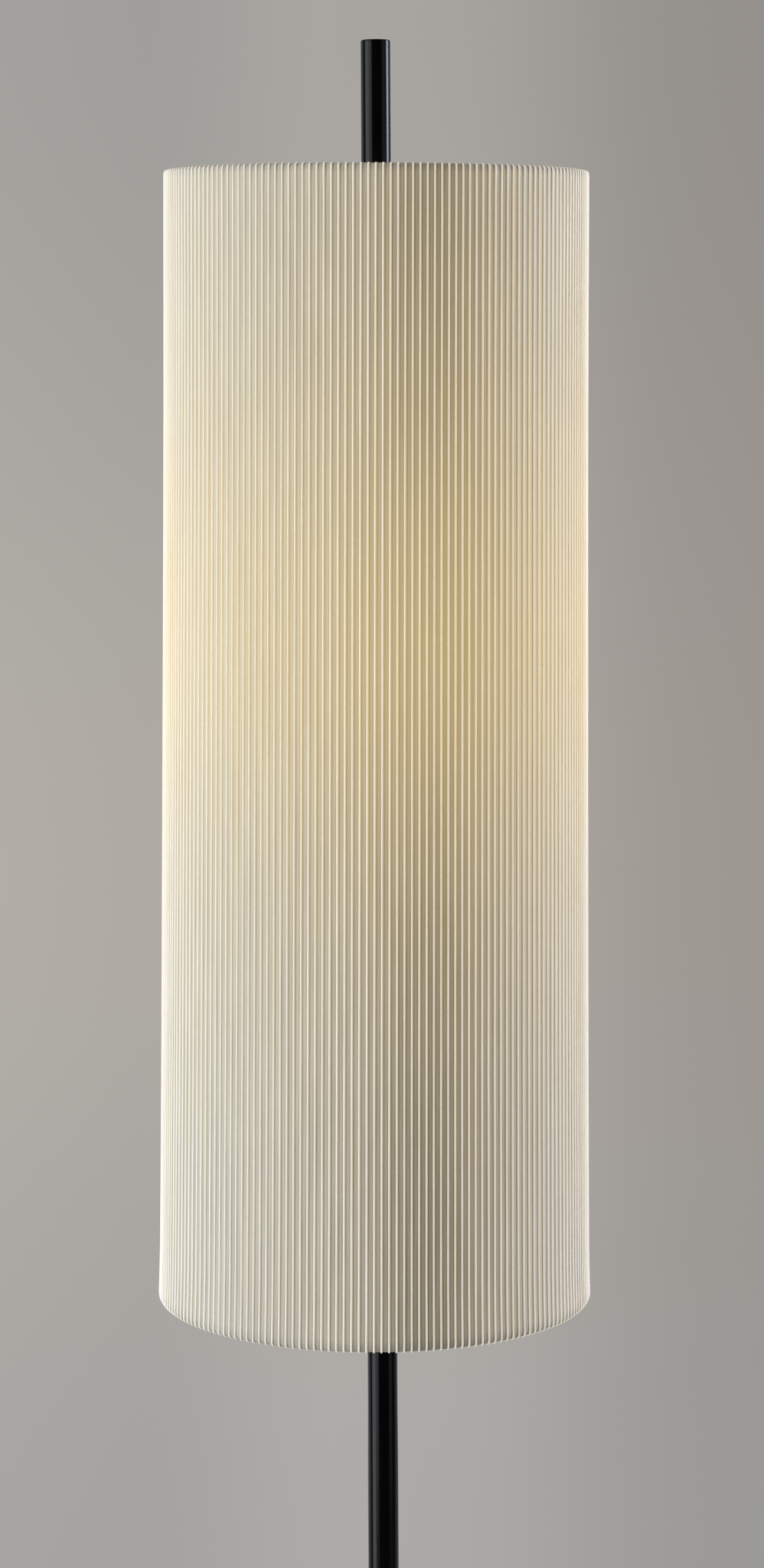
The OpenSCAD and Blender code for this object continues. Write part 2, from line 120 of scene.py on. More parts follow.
def remap(tree, value, low, high, new_low=0.0, new_high=1.0, smooth=False):
    """Moves a value from one span to another, and holds it inside the new one."""
    node = add_node(tree, "ShaderNodeMapRange",
                    {"Value": value, "From Min": low, "From Max": high,
                     "To Min": new_low, "To Max": new_high},
                    interpolation_type="SMOOTHSTEP" if smooth else "LINEAR")
    return node.outputs["Result"]


def mix_colours(tree, share, first, second, blend="MIX"):
    """Blends the second colour over the first, and holds the result between black and white."""
    node = add_node(tree, "ShaderNodeMix",
                    {MIX_SHARE: share, MIX_FIRST: first, MIX_SECOND: second},
                    data_type="RGBA", blend_type=blend, clamp_result=True)
    return node.outputs[MIX_RESULT]


def opaque(red, green, blue):
    """A colour for a socket, which wants a fourth number too."""
    return (red, green, blue, 1.0)


def object_place(tree):
    """Each point's place in the lamp's own coordinates."""
    return add_node(tree, "ShaderNodeTexCoord").outputs["Object"]


def split(tree, vector):
    """The parts X, Y and Z of a place or direction."""
    return add_node(tree, "ShaderNodeSeparateXYZ", {0: vector}).outputs


def noise(tree, place, scale, detail=2.0, roughness=0.5):
    """A cloudy pattern, mostly between 0.3 and 0.7."""
    node = add_node(tree, "ShaderNodeTexNoise",
                    {"Vector": place, "Scale": scale, "Detail": detail, "Roughness": roughness})
    return node.outputs["Fac"]


def stretched(tree, place, scale):
    """Coordinates that draw a pattern out where the scale is under 1, and pack it where over 1."""
    return add_node(tree, "ShaderNodeMapping", {"Vector": place, "Scale": scale}).outputs[0]


def new_group(name, inputs, outputs):
    """An effect that several materials share, with its named inputs and outputs."""
    group = bpy.data.node_groups.new(name, "ShaderNodeTree")
    for label, kind, value in inputs:
        socket = group.interface.new_socket(name=label, in_out="INPUT", socket_type=kind)
        if value is not None:
            socket.default_value = value
    for label, kind in outputs:
        group.interface.new_socket(name=label, in_out="OUTPUT", socket_type=kind)
    entry = group.nodes.new("NodeGroupInput")
    leave = group.nodes.new("NodeGroupOutput")
    return group, entry.outputs, leave.inputs


def use_group(tree, group, **inputs):
    """Places a shared effect, with this material's own values for its inputs."""
    named = {socket_name(word): value for word, value in inputs.items()}
    return add_node(tree, "ShaderNodeGroup", named, node_tree=group).outputs


def new_material(name, **plain):
    """A material whose plain numbers sit on the shader's own sockets."""
    material = bpy.data.materials.new(name)
    material.use_nodes = True
    tree = material.node_tree
    shader = tree.nodes["Principled BSDF"]
    for word, value in plain.items():
        shader.inputs[socket_name(word)].default_value = value
    return material, tree, shader


def feed(tree, shader, **sockets):
    """Leads what changes over the surface into the shader."""
    for word, value in sockets.items():
        tree.links.new(value, shader.inputs[socket_name(word)])


def add_bump(tree, shader, height, depth, strength):
    """Bump from a height of 0 to 1, which stands for a depth in metres."""
    node = add_node(tree, "ShaderNodeBump",
                    {"Height": height, "Distance": depth, "Strength": strength})
    tree.links.new(node.outputs[0], shader.inputs["Normal"])


# ---- Effects that several materials share ----

DUST_COLOUR = opaque(0.42, 0.40, 0.37)


def make_mottle():
    """Slow blotches and a fine grain, both from 0 to 1."""
    group, entry, leave = new_group(
        "mottle",
        [("Place", "NodeSocketVector", None), ("Blotch Scale", "NodeSocketFloat", 20.0),
         ("Grain Scale", "NodeSocketFloat", 900.0)],
        [("Blotch", "NodeSocketFloat"), ("Grain", "NodeSocketFloat")])
    blotch = noise(group, entry["Place"], entry["Blotch Scale"], 3.0)
    grain = noise(group, entry["Place"], entry["Grain Scale"])
    group.links.new(remap(group, blotch, *WIDE), leave["Blotch"])
    group.links.new(remap(group, grain, *WIDE), leave["Grain"])
    return group


def make_dust():
    """Dust that has settled on what faces up."""
    group, entry, leave = new_group(
        "settled dust",
        [("Place", "NodeSocketVector", None), ("Colour", "NodeSocketColor", opaque(0, 0, 0)),
         ("Amount", "NodeSocketFloat", 0.2)],
        [("Colour", "NodeSocketColor"), ("Mask", "NodeSocketFloat")])
    facing = split(group, add_node(group, "ShaderNodeTexCoord").outputs["Normal"])["Z"]
    upward = remap(group, facing, 0.55, 0.98, smooth=True)
    specks = remap(group, noise(group, entry["Place"], 260.0, 4.0, 0.65), 0.42, 0.62, 0.45, 1.0)
    film = remap(group, noise(group, entry["Place"], 14.0, 3.0), *WIDE, 0.35, 1.0)
    mask = calculate(group, "MULTIPLY", calculate(group, "MULTIPLY", upward, film),
                     calculate(group, "MULTIPLY", specks, entry["Amount"]))
    group.links.new(mix_colours(group, mask, entry["Colour"], DUST_COLOUR), leave["Colour"])
    group.links.new(mask, leave["Mask"])
    return group


MOTTLE = make_mottle()
DUST = make_dust()

# ---- Finishes ----


def middle_of(node):
    """The middle of a node's box."""
    return [sum(pair) / 2 for pair in zip(*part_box(node))]


# The bulbs' light in the paper: brightest at the bulbs' height, with half of it left at each reach
BULB_RADIUS = 30 * MM
BULB_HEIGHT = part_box("front_bulb_glass")[1].z - BULB_RADIUS
GLOW_REACH_UP = 0.20
GLOW_REACH_DOWN = 0.15

# The shade leans a little to the side. Its axis crosses the pole's in the middle of the hub.
TOP_RING = middle_of("top_ring")
HEM_RING = middle_of("bottom_ring")
SHADE_LEAN = math.atan2(TOP_RING[0] - HEM_RING[0], TOP_RING[2] - HEM_RING[2])
HUB_MIDDLE = Vector((0, 0, TOP_RING[2] - TOP_RING[0] / math.tan(SHADE_LEAN)))

# The pole's soft shadow on the paper's front. It fades between core and reach to both sides of its
# middle, and towards the shade's back between the two depths, which are counted from its axis.
SHADOW_MIDDLE = 30 * MM
SHADOW_CORE = 4 * MM
SHADOW_REACH = 40 * MM
SHADOW_FULL_DEPTH = -60 * MM
SHADOW_END_DEPTH = -20 * MM

# Heights over which the light in the valleys drops towards the rolled rim and hem
RIM_DIMMING = (1486 * MM, 1491 * MM)
HEM_DIMMING = (789 * MM, 797 * MM)

# Heights between which the light in a bulb's glass rises to its full strength
BULB_GLOW = (BULB_HEIGHT - 55 * MM, BULB_HEIGHT - 5 * MM)

# The thread that the finish of threaded steel shows
BUMP_PITCH = 0.94 * MM
BUMP_DEPTH = 0.5 * MM


def shade_place(tree):
    """Object coordinates with the shade's lean taken out, so that its axis is the pole's."""
    sine = math.sin(SHADE_LEAN)
    cosine = math.cos(SHADE_LEAN)
    shift = (HUB_MIDDLE.z * sine, 0, HUB_MIDDLE.z * (1 - cosine))
    return add_node(tree, "ShaderNodeMapping",
                    {"Vector": object_place(tree), "Location": shift,
                     "Rotation": (0, -SHADE_LEAN, 0)},
                    vector_type="POINT").outputs[0]


def glow_on_shade(tree, height):
    """How brightly the bulbs shine through: 1 at their own height, and less above and below."""
    above = calculate(tree, "SUBTRACT", height, BULB_HEIGHT)
    up = calculate(tree, "DIVIDE", calculate(tree, "MAXIMUM", above, 0.0), GLOW_REACH_UP)
    down = calculate(tree, "DIVIDE", calculate(tree, "MINIMUM", above, 0.0), GLOW_REACH_DOWN)
    squares = calculate(tree, "ADD", calculate(tree, "POWER", up, 2.0),
                        calculate(tree, "POWER", down, 2.0))
    return calculate(tree, "DIVIDE", 1.0, calculate(tree, "ADD", squares, 1.0))


def pole_shadow(tree, parts):
    """The soft shadow of the pole on the paper's front, to the right of the middle."""
    off = calculate(tree, "ABSOLUTE", calculate(tree, "SUBTRACT", parts["X"], SHADOW_MIDDLE))
    across = remap(tree, off, SHADOW_CORE, SHADOW_REACH, 1.0, 0.0, smooth=True)
    front = remap(tree, parts["Y"], SHADOW_FULL_DEPTH, SHADOW_END_DEPTH, 1.0, 0.0, smooth=True)
    return calculate(tree, "MULTIPLY", across, front)


def finish_pleat_paper():
    """Pleated paper with light coming through. Its pale crests are painted light, and its darker
    valleys are painted shade.
    """
    material, tree, shader = new_material("pleat_paper", Roughness=0.92, Specular_IOR_Level=0.25,
                                          Sheen_Weight=0.03, Sheen_Roughness=0.6,
                                          Emission_Strength=1.0)
    place = shade_place(tree)
    parts = split(tree, place)
    ridge = add_node(tree, "ShaderNodeAttribute", attribute_name="ridge").outputs["Fac"]
    folded = remap(tree, ridge, 0.0, 0.85)
    uneven = remap(tree, noise(tree, stretched(tree, place, (1, 1, 0.035)), 420.0), *NARROW)
    fibres = noise(tree, stretched(tree, place, (1, 1, 0.12)), 1500.0, 3.0, 0.6)

    # Painted shade: the valleys' colour is much darker than the crests' and stands for the shade in
    # the folds
    valley = mix_colours(tree, uneven, opaque(0.45, 0.436, 0.377), opaque(0.525, 0.511, 0.442))
    crest = mix_colours(tree, uneven, opaque(0.86, 0.825, 0.750), opaque(0.94, 0.91, 0.835))
    paper = mix_colours(tree, folded, valley, crest)
    specked = remap(tree, fibres, *NARROW, 0.0, 0.08)
    tinted = mix_colours(tree, specked, paper, opaque(0.45, 0.37, 0.26))

    glow = glow_on_shade(tree, parts["Z"])
    near_bulb = mix_colours(tree, folded, opaque(0.337, 0.245, 0.075), opaque(0.535, 0.390, 0.215))
    # Painted light and shade: the even light stands for daylight through the paper and side light
    # on the crests, so it is far brighter on the crests than in the valleys
    in_valley = mix_colours(tree, uneven, opaque(0.097, 0.068, 0.038), opaque(0.132, 0.096, 0.055))
    even = mix_colours(tree, folded, in_valley, opaque(0.455, 0.397, 0.322))
    dimmed = mix_colours(tree, pole_shadow(tree, parts), even, opaque(0.085, 0.072, 0.064),
                         "SUBTRACT")
    light = mix_colours(tree, glow, dimmed, near_bulb)
    at_rim = remap(tree, parts["Z"], *RIM_DIMMING, 1.0, 0.5, smooth=True)
    at_hem = remap(tree, parts["Z"], *HEM_DIMMING, 0.4, 1.0, smooth=True)
    left_over = calculate(tree, "MULTIPLY", at_rim, at_hem)
    light_in_valley = mix_colours(tree, left_over, opaque(0, 0, 0), light)
    light = mix_colours(tree, folded, light_in_valley, light)

    feed(tree, shader, Base_Color=tinted, Emission_Color=light)
    add_bump(tree, shader, fibres, 0.08 * MM, 0.6)
    return material


def finish_liner_film():
    """Thin translucent film behind the pleats, which the bulbs light up from inside."""
    material, tree, shader = new_material("liner_film", Roughness=0.6, Emission_Strength=1.0)
    place = shade_place(tree)
    mottle = use_group(tree, MOTTLE, Place=place, Blotch_Scale=9.0, Grain_Scale=300.0)
    film = mix_colours(tree, mottle["Blotch"], opaque(0.80, 0.75, 0.65), opaque(0.86, 0.82, 0.73))
    glow = glow_on_shade(tree, split(tree, place)["Z"])
    light = mix_colours(tree, glow, opaque(0.02, 0.015, 0.01), opaque(0.55, 0.42, 0.24))
    feed(tree, shader, Base_Color=film, Emission_Color=light)
    add_bump(tree, shader, mottle["Grain"], 0.05 * MM, 0.5)
    return material


def finish_black_coat():
    """Satin black paint on the pole, the base and the finial. Dust makes it duller."""
    material, tree, shader = new_material("black_coat", Specular_IOR_Level=0.32,
                                          Specular_Tint=opaque(1.0, 0.90, 0.88))
    place = object_place(tree)
    mottle = use_group(tree, MOTTLE, Place=place, Blotch_Scale=16.0, Grain_Scale=1400.0)
    coat = mix_colours(tree, mottle["Blotch"], opaque(0.0022, 0.0020, 0.0020),
                       opaque(0.004, 0.0038, 0.0038))
    dusty = use_group(tree, DUST, Place=place, Colour=coat, Amount=0.10)
    rough = calculate(tree, "ADD", remap(tree, mottle["Blotch"], 0, 1, 0.14, 0.19),
                      calculate(tree, "MULTIPLY", dusty["Mask"], 2.0))
    feed(tree, shader, Base_Color=dusty["Colour"], Roughness=rough)
    add_bump(tree, shader, mottle["Grain"], 0.03 * MM, 0.35)
    return material


def finish_holder_enamel():
    """Black enamel on the lampholders, under a thin clear coat."""
    material, tree, shader = new_material("holder_enamel", Coat_Weight=0.4, Coat_Roughness=0.2)
    place = object_place(tree)
    mottle = use_group(tree, MOTTLE, Place=place, Blotch_Scale=60.0, Grain_Scale=1800.0)
    enamel = mix_colours(tree, mottle["Blotch"], opaque(0.012, 0.011, 0.010),
                         opaque(0.022, 0.020, 0.018))
    dusty = use_group(tree, DUST, Place=place, Colour=enamel, Amount=0.25)
    feed(tree, shader, Base_Color=dusty["Colour"],
         Roughness=remap(tree, mottle["Blotch"], 0, 1, 0.30, 0.45))
    add_bump(tree, shader, mottle["Grain"], 0.02 * MM, 0.4)
    return material


def thread_height(tree, place):
    """The height, from 0 to 1, of a screw thread round the pole's axis."""
    parts = split(tree, place)
    angle = calculate(tree, "ARCTAN2", parts["Y"], parts["X"])
    turn = calculate(tree, "DIVIDE", angle, 2 * math.pi)
    climb = calculate(tree, "DIVIDE", parts["Z"], BUMP_PITCH)
    phase = calculate(tree, "FRACT", calculate(tree, "SUBTRACT", climb, turn))
    height = calculate(tree, "ABSOLUTE", calculate(tree, "SUBTRACT", phase, 0.5))
    return calculate(tree, "MULTIPLY", height, 2.0)


# How a metal's marks are packed: in rings round an upright axis, or the same every way
RINGS = (1, 1, 12)
EVERY_WAY = (1, 1, 1)


def finish_metal(name, dark, bright, rough, marks=RINGS, threaded=False):
    """Bare or plated metal with rolling or turning marks, or with a screw thread as its bump."""
    material, tree, shader = new_material(name, Metallic=1.0)
    place = object_place(tree)
    scratches = noise(tree, stretched(tree, place, marks), 500.0, 3.0, 0.6)
    mottle = use_group(tree, MOTTLE, Place=place, Blotch_Scale=45.0)
    worn = mix_colours(tree, mottle["Blotch"], opaque(*dark), opaque(*bright))
    streaked = mix_colours(tree, remap(tree, scratches, *NARROW, 0, 0.35), worn, opaque(*dark))
    feed(tree, shader, Base_Color=streaked,
         Roughness=remap(tree, scratches, *WIDE, rough, rough + 0.15))
    if threaded:
        add_bump(tree, shader, thread_height(tree, place), BUMP_DEPTH, 0.9)
    else:
        add_bump(tree, shader, scratches, 0.02 * MM, 0.5)
    return material


def finish_moulded(name, dark, bright, rough, grain=900.0, depth=0.03 * MM, dust=0.15, **plain):
    """Moulded plastic, rubber, felt or fibre with a fine grain."""
    material, tree, shader = new_material(name, **plain)
    place = object_place(tree)
    mottle = use_group(tree, MOTTLE, Place=place, Blotch_Scale=50.0, Grain_Scale=grain)
    colour = mix_colours(tree, mottle["Blotch"], opaque(*dark), opaque(*bright))
    dusty = use_group(tree, DUST, Place=place, Colour=colour, Amount=dust)
    feed(tree, shader, Base_Color=dusty["Colour"],
         Roughness=remap(tree, mottle["Grain"], 0, 1, rough, rough + 0.12))
    add_bump(tree, shader, mottle["Grain"], depth, 0.6)
    return material


def finish_frosted_glass():
    """White frosted glass, lit from inside above the bulb's neck."""
    material, tree, shader = new_material("bulb_frost", Roughness=0.45, Emission_Strength=0.45)
    place = object_place(tree)
    mottle = use_group(tree, MOTTLE, Place=place, Blotch_Scale=30.0, Grain_Scale=2500.0)
    frost = mix_colours(tree, mottle["Blotch"], opaque(0.86, 0.84, 0.80), opaque(0.92, 0.90, 0.86))
    lit = remap(tree, split(tree, place)["Z"], *BULB_GLOW, smooth=True)
    light = mix_colours(tree, lit, opaque(0.30, 0.20, 0.11), opaque(1.0, 0.80, 0.52))
    feed(tree, shader, Base_Color=frost, Emission_Color=light)
    add_bump(tree, shader, mottle["Grain"], 0.02 * MM, 0.5)
    return material


# Each metal's darker and brighter tone and its roughness, then its marks where they aren't rings,
# and whether it is threaded
YELLOW_ZINC = ((0.50, 0.42, 0.22), (0.72, 0.64, 0.40), 0.28)
METALS = {
    "zinc_steel": ((0.42, 0.43, 0.45), (0.66, 0.67, 0.69), 0.30),
    "threaded_steel": (*YELLOW_ZINC, RINGS, True),
    "turned_thread": YELLOW_ZINC,
    "contact_brass": ((0.55, 0.38, 0.14), (0.80, 0.60, 0.28), 0.22, EVERY_WAY),
    "bulb_nickel": ((0.55, 0.55, 0.56), (0.74, 0.74, 0.75), 0.22, EVERY_WAY),
    "bulb_solder": ((0.38, 0.38, 0.39), (0.58, 0.58, 0.60), 0.35, EVERY_WAY),
    "weight_iron": ((0.06, 0.06, 0.062), (0.13, 0.13, 0.135), 0.55, EVERY_WAY),
}

# Each moulded or soft material's darker and brighter tone, its roughness, and what else it needs
MOULDED = {
    "base_felt": ((0.010, 0.010, 0.011), (0.026, 0.026, 0.028), 0.85,
                  {"grain": 2200.0, "depth": 0.5 * MM, "Sheen_Weight": 0.35}),
    "black_rubber": ((0.014, 0.014, 0.014), (0.026, 0.026, 0.026), 0.6, {}),
    "lead_cover": ((0.66, 0.63, 0.55), (0.78, 0.75, 0.68), 0.45, {}),
    "splice_plastic": ((0.58, 0.53, 0.42), (0.70, 0.65, 0.54), 0.35, {}),
    "block_plastic": ((0.05, 0.026, 0.016), (0.09, 0.05, 0.03), 0.25, {}),
    "knob_plastic": ((0.008, 0.008, 0.008), (0.016, 0.015, 0.015), 0.28, {}),
    "sleeve_fibre": ((0.36, 0.28, 0.18), (0.52, 0.42, 0.29), 0.8,
                     {"grain": 500.0, "depth": 0.1 * MM}),
    "bulb_vitrite": ((0.006, 0.006, 0.007), (0.014, 0.014, 0.016), 0.08, {"dust": 0.0}),
    "frame_wire": ((0.62, 0.60, 0.55), (0.72, 0.70, 0.66), 0.3, {"dust": 0.3, "Coat_Weight": 0.3}),
}


def make_finishes():
    """All finishes by name. A CAD node's finish has the name of its material slot."""
    finishes = {name: finish_metal(name, *values) for name, values in METALS.items()}
    for name, (dark, bright, rough, extra) in MOULDED.items():
        finishes[name] = finish_moulded(name, dark, bright, rough, **extra)
    finishes["black_coat"] = finish_black_coat()
    finishes["holder_enamel"] = finish_holder_enamel()
    finishes["bulb_frost"] = finish_frosted_glass()
    finishes["pleat_paper"] = finish_pleat_paper()
    finishes["liner_film"] = finish_liner_film()
    return finishes


FINISHES = make_finishes()


def dress(piece, finish):
    """Gives a piece one finish all over."""
    piece.data.materials.clear()
    piece.data.materials.append(FINISHES[finish])


for subpart in frame["record"]["subparts"]:
    dress(NODES[subpart["node"]], subpart["material_slot"])

# ---- Tools for modelling ----


def deselect_everything():
    """Deselects all objects, since what is selected is changed together."""
    bpy.ops.object.select_all(action="DESELECT")


def pick_all():
    """In edit mode, selects all of the piece."""
    bpy.ops.mesh.select_all(action="SELECT")


def pick_points(piece, test):
    """In edit mode, selects the points that pass the test."""
    shape = bmesh.from_edit_mesh(piece.data)
    shape.select_mode = {"VERT"}
    for point in shape.verts:
        point.select = test(point.co)
    shape.select_flush_mode()
    bmesh.update_edit_mesh(piece.data)


def draw_line(name, points):
    """A chain of points, left in edit mode. The first one comes from a small plane, and the others
    are extruded from it."""
    deselect_everything()
    bpy.ops.mesh.primitive_plane_add(size=MM)
    piece = bpy.context.object
    piece.name = name
    bpy.ops.object.mode_set(mode="EDIT")
    pick_all()
    bpy.ops.mesh.merge(type="CENTER")
    bpy.ops.transform.translate(value=points[0])
    for start, end in zip(points, points[1:]):
        step = Vector(end) - Vector(start)
        bpy.ops.mesh.extrude_vertices_move(TRANSFORM_OT_translate={"value": step})
    return piece


def spin_round(axis, steps, seam):
    """In edit mode, spins all of the piece round an upright axis, and closes the seam."""
    pick_all()
    bpy.ops.mesh.spin(steps=steps, angle=2 * math.pi, center=(*axis, 0), axis=(0, 0, 1))
    pick_all()
    bpy.ops.mesh.remove_doubles(threshold=seam)


def turn_faces_out():
    """Turns all faces outwards, and leaves edit mode."""
    pick_all()
    bpy.ops.mesh.normals_make_consistent(inside=False)
    bpy.ops.object.mode_set(mode="OBJECT")


def apply_modifier(piece, kind, **settings):
    """Adds a modifier to the active piece and applies it."""
    modifier = piece.modifiers.new(kind.lower(), kind)
    for name, value in settings.items():
        setattr(modifier, name, value)
    bpy.ops.object.modifier_apply(modifier=modifier.name)


def add_guide(**place):
    """An empty that guides a modifier, and is removed after it."""
    bpy.ops.object.empty_add(**place)
    return bpy.context.object


def remove_guide(guide):
    """Removes a guide whose modifier is applied."""
    bpy.data.objects.remove(guide)


def body_of(node):
    """The name of the body that carries a node."""
    bodies = frame["record"]["behaviour"]["bodies"]
    return next(body for body, carried in bodies.items() if node in carried)


def finish_piece(piece, finish, body, *replaced):
    """Gives a finished piece its material and body, and hides the nodes it stands for."""
    dress(piece, finish)
    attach(piece, body)
    if replaced:
        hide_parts(*replaced)


# ---- The pleated skin ----

PLEATS = 188
PITCH = 2 * math.pi / PLEATS
PAPER = 0.35 * MM
PLEAT_SEAM = 0.02 * MM

# Across a pleat: shares of the pitch from the ridge's middle, and each one's fall to the valley
CREST = 0.05
FLANK = 0.115
FOOT = 0.165
MIDWAY = 0.5
FALL = {CREST: 0.05, FLANK: 0.42, FOOT: 1.0, MIDWAY: 0.85}

# What the paper's finish reads there, for its painted light on the crests and painted shade in the
# valleys: 1 on the crest, and 0 at the foot of its flank
RIDGE_SHARE = {CREST: 1.0, FLANK: 0.75, FOOT: 0.0, MIDWAY: 0.25}

# From the roll under the hem to the roll over the rim, in mm: the ridge's radius and height, then
# the valley's. The heights are those of the shade before it leans.
HEM_ROLL = [(126.8, 792.5, 127.2, 792.5), (126.8, 790.2, 127.2, 790.6),
            (127.8, 788.6, 128.0, 789.2), (130.2, 787.7, 130.2, 788.3),
            (132.8, 787.7, 132.3, 788.3), (134.4, 788.2, 133.6, 788.9),
            (135.2, 789.4, 134.2, 790.1), (135.3, 791.0, 134.4, 791.6)]
SIDE = [(135.2, 795.0, 134.3, 795.0), (134.9, 806.0, 134.0, 806.0),
        (134.6, 823.0, 133.7, 823.0), (134.3, 878.0, 133.4, 878.0),
        (134.0, 950.0, 133.1, 950.0), (133.8, 1023.0, 132.9, 1023.0),
        (133.6, 1110.0, 132.7, 1110.0), (133.5, 1196.0, 132.6, 1196.0),
        (133.35, 1270.0, 132.45, 1270.0), (133.3, 1340.0, 132.4, 1340.0),
        (133.4, 1410.0, 132.5, 1410.0), (133.6, 1470.0, 132.7, 1470.0)]
RIM_ROLL = [(133.65, 1489.6, 132.8, 1489.0), (133.5, 1491.2, 132.75, 1490.3),
            (133.0, 1492.1, 132.6, 1491.3), (132.2, 1492.4, 132.1, 1491.9),
            (131.2, 1492.2, 131.3, 1492.0), (129.8, 1491.9, 129.9, 1491.8),
            (128.0, 1491.2, 128.2, 1491.0), (126.9, 1489.9, 127.1, 1489.7),
            (126.7, 1487.0, 127.1, 1487.0)]

# How far the pleats are out of true, how much the clouds that do it are drawn out upwards, and the
# clouds' size in metres for each direction
WAVER = 0.14 * MM
WAVER_STRETCH = 14
WAVER_SIZES = {"X": 0.011, "Y": 0.012}


def row_place(row, share):
    """The radius and height of a row of a pleat at a share of the pitch, in metres."""
    fall = FALL[abs(share)]
    return [(ridge + (valley - ridge) * fall) * MM for ridge, valley in (row[0::2], row[1::2])]


def nearest_share(place):
    """The share of the pitch at which a point of the first pleat lies."""
    share = abs(math.atan2(place.y, place.x)) / PITCH
    return min(FALL, key=lambda known: abs(known - share))


def pick_numbers(piece, numbers, share=None):
    """In edit mode, selects points by their numbers, or only those of them that lie at a share."""
    shape = bmesh.from_edit_mesh(piece.data)
    for point in shape.verts:
        point.select = point.index in numbers and share in (None, nearest_share(point.co))
    shape.select_flush_mode()
    bmesh.update_edit_mesh(piece.data)


def move_row_points(piece, numbers, share, start, end):
    """Moves a new row's points at a share from the row before to their own radius and height."""
    pick_numbers(piece, numbers, share)
    factor = end[0] / start[0]
    bpy.ops.transform.resize(value=(factor, factor, 1), center_override=(0, 0, 0))
    bpy.ops.transform.translate(value=(0, 0, end[1] - start[1]))


def model_pleat():
    """One pleat, from roll to roll, extruded upwards row by row."""
    rows = HEM_ROLL + SIDE + RIM_ROLL
    halves = sorted(FALL)
    shares = [-share for share in reversed(halves)] + halves
    points = []
    for share in shares:
        radius, height = row_place(rows[0], share)
        angle = share * PITCH
        points.append((radius * math.cos(angle), radius * math.sin(angle), height))
    piece = draw_line("shade_skin", points)
    pick_all()
    for before, row in zip(rows, rows[1:]):
        bpy.ops.mesh.extrude_region_move()
        shape = bmesh.from_edit_mesh(piece.data)
        new_row = {point.index for point in shape.verts if point.select}
        for share in halves:
            start, end = row_place(before, share), row_place(row, share)
            move_row_points(piece, new_row, share, start, end)
        pick_numbers(piece, new_row)
    bpy.ops.object.mode_set(mode="OBJECT")
    ridge = piece.data.attributes.new("ridge", "FLOAT", "POINT")
    for point, value in zip(piece.data.vertices, ridge.data):
        value.value = RIDGE_SHARE[nearest_share(point.co)]
    return piece


def waver(piece, direction, size):
    """Sets the pleats a little out of true, by clouds that are drawn out along their length."""
    clouds = bpy.data.textures.new("clouds", "CLOUDS")
    clouds.noise_scale = size
    clouds.noise_depth = 1
    guide = add_guide(scale=(1, 1, WAVER_STRETCH))
    bpy.context.view_layer.objects.active = piece
    apply_modifier(piece, "DISPLACE", texture=clouds, texture_coords="OBJECT",
                   texture_coords_object=guide, direction=direction, strength=WAVER, mid_level=0.5)
    remove_guide(guide)


def make_skin():
    """The whole skin: a pleat copied all round, wavered, given the paper's thickness and leant."""
    piece = model_pleat()
    turn = add_guide(rotation=(0, 0, PITCH))
    bpy.context.view_layer.objects.active = piece
    apply_modifier(piece, "ARRAY", count=PLEATS, use_relative_offset=False, use_object_offset=True,
                   offset_object=turn, use_merge_vertices=True, use_merge_vertices_cap=True,
                   merge_threshold=PLEAT_SEAM)
    remove_guide(turn)
    for direction, size in WAVER_SIZES.items():
        waver(piece, direction, size)
    apply_modifier(piece, "SOLIDIFY", thickness=PAPER, offset=-1)
    piece.select_set(True)
    bpy.ops.object.mode_set(mode="EDIT")
    pick_all()
    bpy.ops.transform.rotate(value=-SHADE_LEAN, orient_axis="Y", center_override=HUB_MIDDLE)
    bpy.ops.object.mode_set(mode="OBJECT")
    bpy.ops.object.shade_smooth_by_angle(angle=math.radians(70))
    finish_piece(piece, "pleat_paper", "shade", "shade_pleats")


make_skin()

# ---- Stud and bulbs ----

THREAD_STEPS = 40
THREAD_SEAM = 0.001 * MM
THREAD_WELD = 0.002 * MM
SAME_HEIGHT = 0.001 * MM

STUD_PITCH = INCH_IN_MM / 27 * MM
STUD_THREAD_DEPTH = 0.55 * MM
STUD_WAVE_POINTS = 4

# A bulb's screw cap. Its wall turns in by a factor and a rise, at the foot and at the thread's end.
CAP_PITCH = INCH_IN_MM / 7 * MM
CAP_THREAD_DEPTH = 0.9 * MM
CAP_WAVE_POINTS = 12
CAP_WALL = 0.25 * MM
PLAIN_TOP = 5.6 * MM
FOOT_TURN = (0.95, -0.35 * MM)
TOP_TURN = (0.93, 0.0)

# The collar over the top of a cap's thread, in mm: radius, and height from the cap's top
COLLAR = [(12.15, 0.0), (12.7, 0.0), (12.95, -0.2), (12.95, -4.9), (13.1, -5.3), (13.05, -5.8),
          (12.5, -6.1), (12.15, -6.0)]
COLLAR_SEAM = 0.01 * MM

# A bulb's glass. Its round crown goes down to an angle under its middle, and a curved waist leads
# from there to the neck. The handles, radius and height, shape the waist at its two ends.
GLASS = 0.8 * MM
GLASS_STEPS = 64
GLASS_SEAM = 0.03 * MM
TIP_OPENING = 0.2 * MM
TIP_DEPTH = 0.01 * MM
CROWN_ANGLES = range(86, -31, -4)
CROWN_END = math.radians(30)
NECK_RADIUS = 12 * MM
NECK_HEIGHT = 8 * MM
UPPER_HANDLE = Vector((7 * MM, 12 * MM))
LOWER_HANDLE = Vector((0, 14 * MM))
WAIST_STEPS = 16


